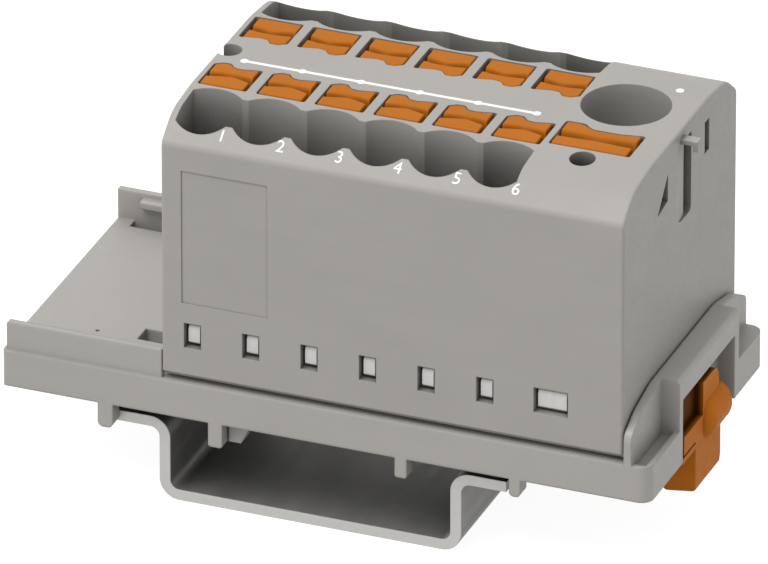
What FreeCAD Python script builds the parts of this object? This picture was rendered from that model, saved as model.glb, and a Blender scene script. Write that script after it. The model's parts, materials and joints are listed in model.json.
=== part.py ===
"""Push-in power distribution block clipped on a piece of 35 mm mounting rail.

Frame: origin at the middle of the rail's underside, +X along the block, +Y from the front
face to the back, +Z up. All sizes are in millimetres.
"""
import FreeCAD, Part
import math
import os

V = FreeCAD.Vector

# Rail: a 35 x 7.5 top-hat rail
rail_width = 35.0
rail_height = 7.5
rail_sheet = 1.0
rail_web_span = 27.0            # over the outer faces of the two webs
rail_bend_inner_r = 0.8
rail_setback = 1.5              # the rail's ends lie this far behind the base's faces

# Adapter base
base_left = -26.95              # from the middle of the rail
base_depth = 27.0
tray_length = 14.25             # deck left of the housing
latch_bay = 1.6                 # from the end plate to the base's right end
base_over_flange = 1.2          # skirt edge above the rail's flange
skirt_height = 3.3
skirt_wall = 1.2
deck_thick = 1.2
merge = 0.1                     # how far joined features reach into each other
overcut = 0.01                  # how far one cut reaches into the next
lip_height = 2.55
lip_thick = 0.6
lip_inset = 0.3
lip_end_r = 0.15
back_lip_height = 2.75
back_lip_inset = 0.83
catch_reach = 0.75              # how far the back catch stands in over the deck
catch_drop = 0.4                # its top below the back lip's
catch_height = 0.7
catch_slope = 0.5
catch_tip_r = 0.25
catch_start = 2.3               # from the base's left end
end_plate_thick = 0.7
arch_rise = 4.7                 # top of the end plate above the deck
arch_shoulder = 3.95
arch_spring = 2.7
arch_flat_half = 7.4
arch_shoulder_half = 11.1
arch_radii = (1.0, 4.0, 8.0)    # at the spring, the shoulder and the flat top
pocket_wall = 0.5
pocket_depth = 0.5
corner_r = 1.1
edge_r = 0.35
rib_thick = 1.0
pad_width = 2.2                 # pads that stand on the rail's flanges
pad_rows = 4
pad_pitch = 6.0
beam_x = (-22.0, -6.5, 6.5)
claw_height = 1.1
claw_under = 1.2                # how far the claws reach under the flange
claw_thick = 1.5
claw_half_width = 5.0
claw_lead = 0.4
rail_clear = 0.2                # claw and latch to the rail

# Holes in the deck, left of the housing
core_hole_gap = 0.7             # from the housing's left end
core_hole_length = 3.8
core_hole_y = -6.6
core_hole_width = 2.0
catch_hole_start = 1.5          # from the base's left end
catch_hole_gap = 1.2            # from the housing's left end
catch_hole_clear = 0.32
pip_x = 6.1                     # from the base's left end
pip_y = -7.4
pip_r = 0.18
pip_depth = 0.6

# Stops at the skirts: left side, length along X, drop below the skirt, corner radius
stop_reach = 1.45               # depth along Y
stop_over_flange = 0.9
stop_past_flange = 0.8
inner_stops = ((-8.5, 1.25, 2.2, 0.25), (8.15, 1.05, 1.8, 0.2))
left_stop = (1.35, 2.2, 0.5)
right_stop = (1.0, 1.6, 0.4)
wedge_left = -7.1
wedge_flat = 1.1
wedge_slope = 0.7
wedge_drop = 2.0
wedge_tip = 0.6
wedge_reach = 1.2

# Latch
latch_centre_y = 0.0
latch_plate_thick = 1.7
latch_half_width = 4.8
latch_travel = 2.5
latch_clear = 0.2
latch_hook_half = 3.4
hook_thick = 1.8
lug_length = 2.5                # stops of the latch behind its guides
lug_out = 0.8
tongue_near = 2.1               # from the latch's centre plane towards the front
tongue_far = 3.75               # and towards the back
tongue_thick = 3.0
tongue_drop = 4.5               # below the skirt edge
tongue_slope = 0.4
tongue_inset = 0.1
tongue_radii = (0.4, 0.5, 0.3)
tongue_corner_r = 1.3           # lower back corner
head_near = 5.2
head_far = 3.3
head_thick = 1.3
head_height = 4.9               # above the skirt edge
head_drop = 0.5                 # and below it
head_bevel = 0.3
head_corner_r = 1.2             # upper back corner
grip_floor = 0.5
grip_gap = 0.4                  # from the latch's centre plane
boss_r = 2.2
boss_width = 4.5
boss_front = 0.4
boss_round = 1.2                # at its front end
boss_height = 1.0               # above the skirt edge
guide_thick = 0.6
guide_lip = 0.9
guide_short = 1.9               # the ledges end this far before the end plate
frame_open_low = 5.7            # opening for the latch, towards the front
frame_open_high = 6.5           # and towards the back
front_post = 0.8
back_post = 1.0
frame_open_height = 2.65        # above the deck
frame_edge_r = 0.4

# Housing
housing_inset = 0.25            # side faces behind the base's
housing_gap = 0.3               # dark joint between the deck and the housing's edge
housing_side = 21.75
housing_top = 24.15
slope_in = 2.45                 # from the side face to the first ridge
slope_rise = 1.95
ridge_in = 6.75                 # from the side face to the flat top
ridge_radii = (0.8, 4.0, 10.0)
wall = 1.2
end_wall_right = 1.6
roof = 9.65
housing_edge_r = 0.25
foot_inset = 0.5                # rebate along the foot of the front and the back
foot_rise = 0.45
lip_fit = 0.05                  # housing to the base's lips
plate_fit = 0.2                 # housing to the end plate

# Outlets: two rows of six
pitch = 5.2
columns = 6
first_column = 2.75             # from the housing's left end
row_in = 3.9                    # from the side face
funnel_half_x = 3.1
funnel_half_y = 2.7
funnel_out = 0.2                # an oval's middle, outwards from its entry's
cone_rim_r = 2.4
funnel_channel = 1.8            # half width of the channel that blunts the ridges between the funnels
funnel_depth = 4.55
cone_depth = 1.3
outlet_bore_r = 2.0
row_end = 2.1                   # the outer funnels end this far from their middles
cell_wall = 0.8
web_half = 1.0
window_width = 1.52
window_height = 2.3
window_low = 2.95
window_sill = 0.4               # from the windows' tops to the ceiling of the busbar's space

# Supply side
supply_step = 6.3               # from the last column
supply_right = 5.85             # to the housing's right end
supply_y = 2.7
supply_r = 3.8
supply_window_shift = 0.48      # to the left of the supply entry
supply_window_width = 3.03
supply_cell_reach = 3.3
test_y = -7.45
test_r = 1.1
notch_x = 0.8
notch_r = 1.1
notch_depth = 4.0

# Marker field and the end key
field_left = 1.8
field_width = 7.65
field_low = 7.1
field_height = 12.3
field_depth = 0.08
key_low = 15.65
key_height = 7.3
key_front = -1.05
key_width = 3.5
key_ramp = 2.35                 # the recess slopes in over this width
key_depth = 0.25
key_slot_depth = 1.2
key_corner_radii = (1.4, 0.5)   # lower corners at the front and the back
key_hook_start = 0.95           # from the recess's front edge
key_hook_width = 1.0
key_hook_out = 1.5
key_hook_thick = 0.4
key_hook_drop = 0.9
side_slot_y = 5.6
side_slot_width = 1.05
side_slot_depth = 0.8
side_slot_low = 19.3
side_slot_height = 2.9
nick_front = -5.4               # three-cornered recess before the key
nick_back = -3.0
nick_low = 18.7
nick_rise = 0.4
nick_high = 21.6
nick_depth = 0.6

# Buttons
button_y = 4.55
button_half_x = 2.05
button_outer = 1.87
button_inner = 1.9
button_waist = 1.5
button_horn = 2.15
button_dip_half = 0.35
button_dip_rise = 0.1
button_horn_near = 0.8
button_horn_far = 1.45
button_drop = 0.2               # the corner beside the horn stands back by this
button_corner_r = 0.2
button_inner_r = 0.25
button_horn_r = 0.35
button_dip_radii = (0.6, 0.3)
button_gap = 0.13
button_below_top = 0.15
button_travel = 1.2
button_head = 4.4
head_stop_gap = 0.2
stem_half_x = 1.45
stem_front = 0.65               # stem's outer face, from the button's centre outwards
stem_width = 2.2
stem_gap = 0.15
barb_out = 0.4
barb_height = 1.0
barb_flank = 0.6
groove_half = 0.95
groove_depth = 0.6
groove_bow = 0.35
groove_shift = 0.1              # from the button's centre, outwards
groove_over = 0.5
supply_groove_shift = 0.3
supply_button_y = -3.85
supply_button_half_x = 3.45
supply_button_half_y = 2.05
supply_button_step = 0.35
supply_button_dip = 0.75
supply_dip_x = (1.4, -1.1)
supply_dip_radii = (1.5, 1.2)
supply_ear = 1.9                # from the button's centre to the corner of its ear
supply_ear_radii = (0.5, 0.3)
supply_stem_front = 1.1

# Busbar and springs
bar_thick = 0.8
bar_floor = 2.7                 # underside of the busbar above the housing's lower edge
spine_half = 3.0
finger_gap = 0.85               # from the upright tabs to the side walls
finger_neck = 1.45
finger_tab = 2.9
finger_tab_low = 6.0
finger_tab_high = 11.5
finger_bend_r = 1.5
nose_behind = 0.4               # blunt ends of the tabs, behind the side face
nose_low = 0.25                 # above the window's lower edge
nose_height = 2.0
nose_radii = (0.25, 0.8)        # lower and upper front edge
nose_gap = 0.2                  # to the window's sides
supply_finger = 2.9
supply_tab_width = 4.8
supply_tab_gap = 0.9            # from the supply entry's wall to the tab's middle
supply_tab_height = 9.0         # above the busbar's underside
spring_sheet = 0.5
spring_width = 2.8
spring_foot_y = 1.6
spring_heel_r = 1.3
spring_heel_drop = 1.0
spring_heel_over = 1.2          # past the button's centre
spring_leg_gap = 0.95           # from the leg's end to the middle of the tab
spring_leg_end = 3.4            # above the busbar
supply_spring_sheet = 0.7
supply_spring_width = 5.4
supply_spring_gap = 1.8         # from the front finger's tab to the spring's foot
supply_heel_drop = 1.4
supply_heel_over = 1.0
supply_heel_radii = (1.5, 2.2)
supply_leg_gap = 1.2
supply_leg_end = 2.2
spring_seat = 0.05
spring_gap = 0.3                # between a button's foot and its spring
cover_thick = 1.2
cover_fit = 0.1
bar_clear = 0.2                 # busbar's end to the housing's wall

# Levels and places that follow from the sizes above
skirt_z = rail_height + base_over_flange
deck_z = skirt_z + skirt_height
deck_under = deck_z - deck_thick
base_front = -base_depth / 2
housing_z = deck_z + housing_gap
housing_left = base_left + tray_length
column_x = [housing_left + first_column + i * pitch for i in range(columns)]
centre_supply = column_x[-1] + supply_step
housing_right = centre_supply + supply_right
housing_half = base_depth / 2 - housing_inset
housing_front = -housing_half
row_y = housing_half - row_in
top_z = housing_z + housing_top
roof_z = top_z - roof
plate_left = housing_right + plate_fit
plate_right = plate_left + end_plate_thick
base_right = plate_right + latch_bay
cell_half = (pitch - cell_wall) / 2
cavity_left = housing_left + wall
cavity_right = housing_right - end_wall_right
cavity_half = housing_half - wall
finger_reach = cavity_half - finger_gap - bar_thick / 2
supply_tab_y = supply_y + supply_r + supply_tab_gap
supply_window_x = centre_supply - supply_window_shift
window_z = housing_z + window_low
bar_z = housing_z + bar_floor
bar_top = bar_z + bar_thick
stem_low = roof_z - head_stop_gap - barb_height
spring_top = stem_low - spring_gap
flange_edge = rail_width / 2
hook_edge = flange_edge + rail_clear
hook_top = rail_height - rail_sheet - rail_clear
latch_top = deck_under - latch_clear
latch_under = latch_top - latch_plate_thick
button_top = top_z - button_below_top
head_low = button_top - button_head


def box(x0, x1, y0, y1, z0, z1):
    return Part.makeBox(x1 - x0, y1 - y0, z1 - z0, V(x0, y0, z0))


def rod(x, y, z0, z1, r):
    return Part.makeCylinder(r, z1 - z0, V(x, y, z0))


def flip(shape):
    """The same shape on the other side of the block's centre plane."""
    return shape.mirror(V(0, 0, 0), V(0, 1, 0))


def turn(shape, x):
    """The shape turned half round about the upright line at x on the centre plane."""
    turned = shape.copy()
    turned.rotate(V(x, 0, 0), V(0, 0, 1), 180)
    return turned


def join(shapes):
    return shapes[0].multiFuse(shapes[1:]).removeSplitter()


def on_plane(plane, a, b, depth=0.0):
    if plane == "xy":
        return V(a, b, depth)
    if plane == "xz":
        return V(a, depth, b)
    return V(depth, a, b)


def outline(corners, plane, depth=0.0):
    """Closed wire through (a, b, radius) corners, each rounded with its own radius."""
    edges, ends = [], []
    count = len(corners)
    for i, (a, b, r) in enumerate(corners):
        before, after = corners[i - 1], corners[(i + 1) % count]
        here = V(a, b, 0)
        back = (V(before[0], before[1], 0) - here).normalize()
        on = (V(after[0], after[1], 0) - here).normalize()
        if r <= 0:
            ends.append((here, here))
            continue
        half = back.getAngle(on) / 2
        start = here + back * (r / math.tan(half))
        end = here + on * (r / math.tan(half))
        middle = here + (back + on).normalize() * (r / math.sin(half) - r)
        ends.append((start, end))
        edges.append(Part.Arc(*[on_plane(plane, p.x, p.y, depth) for p in (start, middle, end)]))
    for i in range(count):
        p, q = ends[i][1], ends[(i + 1) % count][0]
        if (q - p).Length > 1e-6:
            edges.append(Part.LineSegment(*[on_plane(plane, w.x, w.y, depth) for w in (p, q)]))
    return Part.Wire(Part.__sortEdges__([edge.toShape() for edge in edges]))


def prism(corners, plane, low, high):
    """Solid with the rounded outline as its section, from low to high along the third axis."""
    face = Part.Face(outline(corners, plane, low))
    return face.extrude(on_plane(plane, 0, 0, high - low))


def strip(path, sheet):
    """Corners of a bent strip whose middle line goes through (a, b, bend radius) points."""
    sides = {1: [], -1: []}
    for i, (a, b, r) in enumerate(path):
        here = V(a, b, 0)
        normals = []
        for p, q in ((i - 1, i), (i, i + 1)):
            if 0 <= p and q < len(path):
                along = (V(path[q][0], path[q][1], 0) - V(path[p][0], path[p][1], 0)).normalize()
                normals.append(V(-along.y, along.x, 0))
        first, last = normals[0], normals[-1]
        shift = (first + last) * (sheet / 2 / (1 + first.dot(last)))
        left_turn = first.cross(last).z > 0
        for side in sides:
            point = here + shift * side
            grow = -sheet / 2 if left_turn == (side > 0) else sheet / 2
            sides[side].append((point.x, point.y, r + grow if r > 0 else 0))
    return sides[1] + sides[-1][::-1]


# Rail

def make_rail():
    web = (rail_web_span - rail_sheet) / 2
    low, high = rail_sheet / 2, rail_height - rail_sheet / 2
    bend = rail_bend_inner_r + rail_sheet / 2
    path = [(-flange_edge, high, 0), (-web, high, bend), (-web, low, bend),
            (web, low, bend), (web, high, bend), (flange_edge, high, 0)]
    half = base_depth / 2 - rail_setback
    return prism(strip(path, rail_sheet), "xz", -half, half)


# Adapter base

def make_skirts():
    """Skirt all round under the deck, with the deck and its moulded holes."""
    low = base_front
    shell = prism([(base_left, low, edge_r), (base_right, low, corner_r),
                   (base_right, -low, corner_r), (base_left, -low, edge_r)], "xy", skirt_z, deck_z)
    hollow = box(base_left + skirt_wall, plate_left, low + skirt_wall, -low - skirt_wall,
                 skirt_z - 1, deck_under)
    outer_x = (plate_right, base_right - pocket_wall)
    pocket_z = (deck_z - pocket_depth, deck_z + 1)
    front_pocket = box(*outer_x, low + pocket_wall, -frame_open_low - front_post, *pocket_z)
    recess = box(plate_right, base_right + 1, -frame_open_low, frame_open_high, skirt_z - 1, deck_z + 1)
    hole_right = housing_left - core_hole_gap
    core_hole = box(hole_right - core_hole_length, hole_right, core_hole_y - core_hole_width / 2,
                    core_hole_y + core_hole_width / 2, deck_under - 1, deck_z + 1)
    catch_root = -low - back_lip_inset - lip_thick
    catch_hole = box(base_left + catch_hole_start, housing_left - catch_hole_gap,
                     catch_root - catch_reach - catch_hole_clear, catch_root, deck_under - 1, deck_z + 1)
    pip = rod(base_left + pip_x, pip_y, deck_z - pip_depth, deck_z + 1, pip_r)
    return shell.cut([hollow, front_pocket, recess, core_hole, catch_hole, pip])


def make_lips():
    outer = base_front + lip_inset
    left, right = base_left + lip_inset, housing_left - lip_fit
    top = deck_z + lip_height
    front = prism([(left, deck_z - merge, 0), (right, deck_z - merge, 0), (right, top, 0),
                   (left, top, lip_end_r)], "xz", outer, outer + lip_thick)
    back_outer = -base_front - back_lip_inset
    inner = back_outer - lip_thick
    back = box(base_left, right, inner, back_outer, deck_z - merge, deck_z + back_lip_height)
    catch_top = deck_z + back_lip_height - catch_drop
    catch_low = catch_top - catch_height
    catch = prism([(inner + merge, catch_low - catch_slope, 0), (inner - catch_reach, catch_low, 0),
                   (inner - catch_reach, catch_top, catch_tip_r), (inner + merge, catch_top, 0)],
                  "yz", base_left + catch_start, right)
    return [front, back, catch]


def make_end_frame():
    """Arched plate against the housing and the frame round the latch."""
    half = base_depth / 2
    spring_r, shoulder_r, top_r = arch_radii
    right_half = [(half, deck_z - merge, 0), (half, deck_z + arch_spring, spring_r),
                  (arch_shoulder_half, deck_z + arch_shoulder, shoulder_r),
                  (arch_flat_half, deck_z + arch_rise, top_r)]
    left_half = [(-a, b, r) for a, b, r in right_half[::-1]]
    arch = prism(right_half + left_half, "yz", plate_left, plate_right)
    sill = box(plate_left, plate_right, base_front + skirt_wall, -base_front - skirt_wall,
               skirt_z, deck_z)
    post_front, post_back = -frame_open_low - front_post, frame_open_high + back_post
    beam_low, beam_top = deck_z + frame_open_height, deck_z + arch_rise
    inside = plate_right - merge
    frame = prism([(inside, skirt_z, 0), (base_right, skirt_z, 0), (base_right, beam_top, frame_edge_r),
                   (inside, beam_top, 0)], "xz", post_front, post_back)
    gap = box(plate_right, base_right + 1, -frame_open_low, frame_open_high, skirt_z - 1, beam_low)
    return [arch, sill, frame.cut(gap)]


def make_under_features():
    """Stops at the skirts, pads on the flanges, the fixed claw and the latch's guides."""
    stops = [make_stop(x, *sizes) for x, *sizes in inner_stops]
    stops.append(make_stop(-flange_edge - stop_over_flange, *left_stop))
    stops.append(make_stop(flange_edge + stop_past_flange, *right_stop))
    stops.append(make_wedge())
    stops += [flip(piece) for piece in stops]

    root = deck_under + merge
    pads = []
    web_edge = rail_web_span / 2 + rail_bend_inner_r
    for side in (-1, 1):
        near, far = sorted((web_edge * side, (web_edge + pad_width) * side))
        for row in range(pad_rows):
            y = (row - (pad_rows - 1) / 2) * pad_pitch
            pads.append(box(near, far, y - rib_thick / 2, y + rib_thick / 2, rail_height, root))
    half = base_depth / 2 - skirt_wall + merge
    beams = [box(x - rib_thick / 2, x + rib_thick / 2, -half, half, skirt_z, root) for x in beam_x]
    return stops + pads + beams + [make_claw()] + make_guides()


def make_stop(x, length, drop, tip):
    """Stop under the front skirt, against the end of the rail."""
    root, low = skirt_z + merge, skirt_z - drop
    corners = [(x, root, 0), (x, low, tip), (x + length, low, tip), (x + length, root, 0)]
    return prism(corners, "xz", base_front, base_front + stop_reach)


def make_wedge():
    root, low = skirt_z + skirt_wall, skirt_z - wedge_drop
    flat, right = wedge_left + wedge_flat, wedge_left + wedge_flat + wedge_slope
    corners = [(wedge_left, root, 0), (wedge_left, low, 0), (flat, low, 0),
               (right, skirt_z - wedge_tip, 0), (right, root, 0)]
    inner = base_front + stop_reach + wedge_reach
    return prism(corners, "xz", base_front + skirt_wall - merge, inner)


def claw_corners(edge, top, thick, root):
    """Section of a claw that reaches to the right under a flange whose clear edge is given."""
    tip, low = edge + claw_under, top - claw_height
    return [(edge - thick, root, 0), (edge - thick, low, claw_lead), (tip - claw_lead, low, 0),
            (tip, low + claw_lead, 0), (tip, top, 0), (edge, top, 0), (edge, root, 0)]


def make_claw():
    """Fixed claw that hooks under the left flange."""
    corners = claw_corners(-hook_edge, hook_top, claw_thick, deck_under + merge)
    return prism(corners, "xz", -claw_half_width, claw_half_width)


def make_guides():
    """Two rails that carry the latch's plate at its edges."""
    top = latch_under - latch_clear
    left, right = hook_edge + lug_length + latch_travel + latch_clear, plate_left + merge
    guides = []
    for side in (-1, 1):
        inner = latch_centre_y + side * (latch_half_width + latch_clear)
        outer = inner + side * rib_thick
        under = inner - side * guide_lip
        guides.append(box(left, right, min(inner, outer), max(inner, outer),
                          top - guide_thick, deck_under + merge))
        guides.append(box(left, right - guide_short, min(under, outer), max(under, outer),
                          top - guide_thick, top))
    return guides


def make_base():
    slot = latch_half_width + latch_clear
    way = box(plate_left - 1, plate_right + merge, latch_centre_y - slot, latch_centre_y + slot,
              skirt_z - 1, deck_under)
    return join([make_skirts()] + make_lips() + make_end_frame() + make_under_features()).cut(way)


# Latch

def make_latch():
    """Sliding foot: plate under the deck, hook under the flange, head and tongue at the end."""
    mid = latch_centre_y
    head_x = plate_right + latch_clear / 2
    head_out = head_x + head_thick
    head_top = skirt_z + head_height
    plate = box(hook_edge, head_out, mid - latch_half_width, mid + latch_half_width, latch_under, latch_top)
    lug_half = latch_half_width + lug_out
    lugs = box(hook_edge, hook_edge + lug_length, mid - lug_half, mid + lug_half, latch_under, latch_top)
    hook = prism(claw_corners(-hook_edge, hook_top, hook_thick, latch_top), "xz",
                 mid - latch_hook_half, mid + latch_hook_half)
    hook = hook.mirror(V(0, 0, 0), V(1, 0, 0))
    out = base_right - tongue_inset
    low = skirt_z - tongue_drop
    inner_r, tip_r, neck_r = tongue_radii
    tongue = prism([(out - tongue_thick, latch_top, 0), (out - tongue_thick, low - tongue_slope, inner_r),
                    (out, low, tip_r), (out, latch_under, neck_r), (head_out - head_bevel, latch_top, 0)],
                   "xz", mid - tongue_near, mid + tongue_far)
    foot = prism([(mid - tongue_near, latch_top, 0), (mid + tongue_far, latch_top, 0),
                  (mid + tongue_far, low - tongue_slope, tongue_corner_r),
                  (mid - tongue_near, low - tongue_slope, 0)], "yz", out - tongue_thick, head_out)
    head_low = skirt_z - head_drop
    head = prism([(mid - head_near, head_low, 0), (mid + head_far, head_low, 0),
                  (mid + head_far, head_top, head_corner_r), (mid - head_near, head_top, 0)],
                 "yz", head_x, head_out)
    grip = box(head_x + grip_floor, head_out + 1, mid - head_near - 1, mid - grip_gap,
               skirt_z, head_top + 1)
    return join([plate, lugs, hook, tongue.common(foot), head.cut(grip), make_boss(head_x)])


def make_boss(head_x):
    """Half-round knob on the latch's head, rounded at its front end."""
    front, centre = latch_centre_y - boss_front, skirt_z + boss_height
    knob = Part.makeCylinder(boss_r, boss_width, V(head_x, front, centre), V(0, 1, 0))
    rim = [edge for edge in knob.Edges if edge.BoundBox.YMax < front + 1e-6]
    knob = knob.makeFillet(boss_round, rim)
    return knob.common(box(head_x, head_x + boss_r, front, front + boss_width,
                           centre - boss_r, centre + boss_r))


# Housing

def make_shell():
    half = housing_half
    side_r, slope_r, ridge_r = ridge_radii
    right = [(half, housing_z, 0), (half, housing_z + housing_side, side_r),
             (half - slope_in, housing_z + housing_side + slope_rise, slope_r),
             (half - ridge_in, top_z, ridge_r)]
    left = [(-a, b, r) for a, b, r in right[::-1]]
    body = prism(right + left, "yz", housing_left, housing_right)
    rims = []
    for edge in body.Edges:
        bounds = edge.BoundBox
        at_end = min(abs(bounds.XMin - housing_left), abs(bounds.XMax - housing_right)) < 1e-6
        if bounds.XLength < 1e-6 and at_end and bounds.ZMax > housing_z + 1e-6:
            rims.append(edge)
    return body.makeFillet(housing_edge_r, rims)


def oval(x, y, half_x, half_y, low, high):
    rim = Part.Ellipse(V(x, y, low), half_x, half_y).toShape()
    return Part.Face(Part.Wire(rim)).extrude(V(0, 0, high - low))


def funnel_row():
    """Cut for the front row of six conductor entries."""
    rise = top_z + 1
    floor = top_z - funnel_depth
    low_r = outlet_bore_r
    tools = []
    for x in column_x:
        tools.append(oval(x, -row_y - funnel_out, funnel_half_x, funnel_half_y, floor, rise))
        tools.append(Part.makeCone(low_r, cone_rim_r, cone_depth + overcut,
                                   V(x, -row_y, floor - cone_depth)))
    tools.append(box(column_x[0], column_x[-1], -row_y - funnel_out - funnel_channel,
                     -row_y - funnel_out + funnel_channel, floor, rise))
    clip = box(column_x[0] - row_end, column_x[-1] + row_end, housing_front, 0, roof_z, rise)
    row = tools[0].multiFuse(tools[1:]).common(clip)
    bores = [rod(x, -row_y, roof_z - 1, floor - cone_depth + overcut, low_r) for x in column_x]
    return [row] + bores


def cells():
    """Hollow under the roof: one cell for each outlet, one for the supply, and the busbar's space."""
    tools = []
    for x in column_x:
        tools.append(box(x - cell_half, x + cell_half, -cavity_half, -web_half, housing_z - 1, roof_z))
        tools.append(box(x - cell_half, x + cell_half, web_half, cavity_half, housing_z - 1, roof_z))
    tools.append(box(centre_supply - supply_cell_reach, cavity_right, -cavity_half, cavity_half,
                     housing_z - 1, roof_z))
    tools.append(box(cavity_left, cavity_right, -cavity_half, cavity_half, housing_z - 1,
                     window_z + window_height + window_sill))
    return tools


def window(x, width):
    return box(x - width / 2, x + width / 2, housing_front - 1, -cavity_half + merge,
               window_z, window_z + window_height)


def windows():
    """Openings in the side walls, one at each contact."""
    front = [window(x, window_width) for x in column_x]
    supply = window(supply_window_x, supply_window_width)
    return front + [flip(tool) for tool in front] + [supply]


def button_outline(grow):
    """Corners of an outlet button about its own centre, with the inner side towards +Y."""
    side, outer, inner = button_half_x + grow, button_outer + grow, button_inner + grow
    waist, horn = button_waist + grow, button_horn + grow
    dip_r, turn_r = button_dip_radii
    return [(-side, -outer, button_corner_r), (side, -outer, button_corner_r),
            (side, inner, button_inner_r), (button_dip_half, waist, dip_r),
            (-button_dip_half, waist + button_dip_rise, turn_r), (-button_horn_near, horn, button_horn_r),
            (-button_horn_far, horn, button_horn_r), (-side, inner - button_drop, button_inner_r)]


def supply_outline(grow):
    """Corners of the supply button, hollowed on its inner side beside the supply hole."""
    side, half = supply_button_half_x + grow, supply_button_half_y + grow
    dip = half - supply_button_dip
    return [(-side, -half, button_corner_r), (side, -half, button_corner_r),
            (side, half - supply_button_step, button_inner_r),
            (supply_dip_x[0], dip, supply_dip_radii[0]), (supply_dip_x[1], dip, supply_dip_radii[1]),
            (-supply_ear, half, supply_ear_radii[0]), (-side, half, supply_ear_radii[1])]


def moved(corners, x, y):
    return [(a + x, b + y, r) for a, b, r in corners]


def slots():
    """Stepped openings for the buttons."""
    step = head_low - button_travel - head_stop_gap
    tools = []
    for x in column_x:
        wide = prism(moved(button_outline(button_gap), x, -button_y), "xy", step, top_z + 1)
        outer = -button_y - stem_front - stem_gap
        narrow = box(x - stem_half_x - stem_gap, x + stem_half_x + stem_gap,
                     outer, outer + stem_width + 2 * stem_gap, roof_z - 1, step + overcut)
        tools += [wide, narrow, turn(wide, x), turn(narrow, x)]
    reach = 2 * stem_half_x + stem_gap
    tools.append(prism(moved(supply_outline(button_gap), centre_supply, supply_button_y),
                       "xy", step, top_z + 1))
    outer = supply_button_y - supply_stem_front - stem_gap
    tools.append(box(centre_supply - reach, centre_supply + reach, outer,
                     outer + stem_width + 2 * stem_gap, roof_z - 1, step + overcut))
    return tools


def end_key():
    """Recess in the right end face that slopes in to a deep slot, with a side slot and a nick."""
    low, high = housing_z + key_low, housing_z + key_low + key_height
    face = housing_right
    step, back = key_front + key_ramp, key_front + key_width
    near_r, far_r = key_corner_radii
    recess = prism([(face, key_front, 0), (face + 1, key_front, 0), (face + 1, back, 0),
                    (face - key_slot_depth, back, 0), (face - key_slot_depth, step, 0),
                    (face - key_depth, step, 0)], "xy", low, high)
    mouth = prism([(key_front, low, near_r), (back, low, far_r), (back, high, 0), (key_front, high, 0)],
                  "yz", face - key_slot_depth - 1, face + 1)
    side_slot = box(face - side_slot_depth, face + 1, side_slot_y, side_slot_y + side_slot_width,
                    housing_z + side_slot_low, housing_z + side_slot_low + side_slot_height)
    nick = prism([(nick_front, housing_z + nick_low, 0), (nick_back, housing_z + nick_low + nick_rise, 0),
                  (nick_back, housing_z + nick_high, 0)], "yz", face - nick_depth, face + 1)
    return [recess.common(mouth), side_slot, nick]


def key_hook():
    """Small hook that stands out over the recess and bends down at its end."""
    top = housing_z + key_low + key_height + key_hook_thick
    near, far = key_front + key_hook_start, key_front + key_hook_start + key_hook_width
    out = housing_right + key_hook_out
    arm = box(housing_right - merge, out, near, far, top - key_hook_thick, top)
    lip = box(out - key_hook_thick, out, near, far, top - key_hook_drop, top)
    return join([arm, lip])


def foot_rebates():
    """Steps along the foot of the front and the back, which show as a dark joint over the deck."""
    step = box(housing_left - 1, housing_right + 1, housing_front - 1, housing_front + foot_inset,
               housing_z - 1, housing_z + foot_rise)
    return [step, flip(step)]


def make_housing():
    notch = rod(housing_left + notch_x, 0, top_z - notch_depth, top_z + 1, notch_r)
    supply = rod(centre_supply, supply_y, roof_z - 1, top_z + 1, supply_r)
    test = rod(centre_supply, test_y, roof_z - 1, top_z + 1, test_r)
    field = box(housing_left + field_left, housing_left + field_left + field_width,
                housing_front - 1, housing_front + field_depth,
                housing_z + field_low, housing_z + field_low + field_height)
    front_row = funnel_row()
    tools = [notch, supply, test, field] + front_row + [flip(tool) for tool in front_row]
    tools += cells() + windows() + slots() + end_key() + foot_rebates()
    return join([make_shell().cut(tools), key_hook()])


# Inside the housing

def make_cover():
    """Plate that closes the housing from below, stands on the deck and carries the busbar."""
    half = cavity_half - cover_fit
    left, right = cavity_left + cover_fit, cavity_right - cover_fit
    plate = box(left, right, -half, half, deck_z, deck_z + cover_thick)
    ribs = [box(left, right, y - rib_thick / 2, y + rib_thick / 2, deck_z + cover_thick - merge, bar_z)
            for y in (-spine_half + rib_thick, spine_half - rib_thick)]
    return join([plate] + ribs)


def nose(x, width):
    """Blunt end of a contact tab, which looks out of its window in the front."""
    half = width / 2 - nose_gap
    front, low = housing_front + nose_behind, window_z + nose_low
    high = low + nose_height
    low_r, high_r = nose_radii
    return prism([(front, low, low_r), (front, high, high_r), (-finger_reach, high, 0),
                  (-finger_reach, low, 0)], "yz", x - half, x + half)


def finger(x, width, tab_width, window_size, both_sides):
    """Strip under one pair of outlets, bent up at its ends into contact tabs."""
    floor = bar_z + bar_thick / 2
    tab_low, tab_high = bar_z + finger_tab_low - bar_floor, bar_z + finger_tab_high - bar_floor
    path = [(-finger_reach, tab_low + merge, 0), (-finger_reach, floor, finger_bend_r)]
    if both_sides:
        path += [(finger_reach, floor, finger_bend_r), (finger_reach, tab_low + merge, 0)]
    else:
        path.append((spine_half, floor, 0))
    pieces = [prism(strip(path, bar_thick), "yz", x - width / 2, x + width / 2)]
    tab = box(x - tab_width / 2, x + tab_width / 2, -finger_reach - bar_thick / 2,
              -finger_reach + bar_thick / 2, tab_low, tab_high)
    pieces += [tab, nose(x, window_size)]
    if both_sides:
        pieces += [flip(piece) for piece in pieces[-2:]]
    return pieces


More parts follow.
